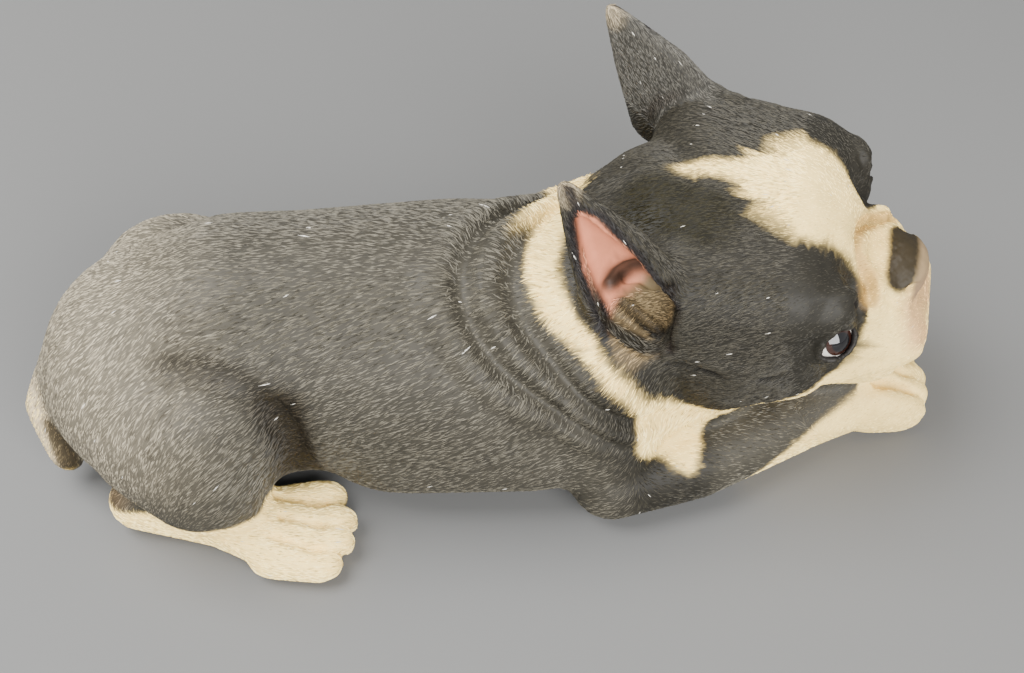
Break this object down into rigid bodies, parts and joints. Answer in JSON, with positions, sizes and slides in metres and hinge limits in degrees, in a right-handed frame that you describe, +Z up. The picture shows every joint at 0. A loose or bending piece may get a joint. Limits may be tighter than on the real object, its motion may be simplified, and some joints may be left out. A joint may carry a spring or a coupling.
{
  "type": "dog figurine",
  "caption": "Life-like lying Boston terrier figure with its chin on its forepaws, upright ears and glass eyes, cast and painted.",
  "frame": {"origin": "middle of the footprint's bounding box, on the flat underside", "axes": "+X towards the nose, +Y to the dog's left, +Z up"},
  "size_m": [0.2856, 0.1216, 0.1213],
  "materials": {
    "painted_resin": "hand-painted matt resin with carved fur, cream blaze, collar and feet",
    "eye_glass": "polished dark brown glass eye"
  },
  "bodies": {
    "root": {"terrier": "painted_resin", "right_eye": "eye_glass", "left_eye": "eye_glass"}
  },
  "joints": []
}
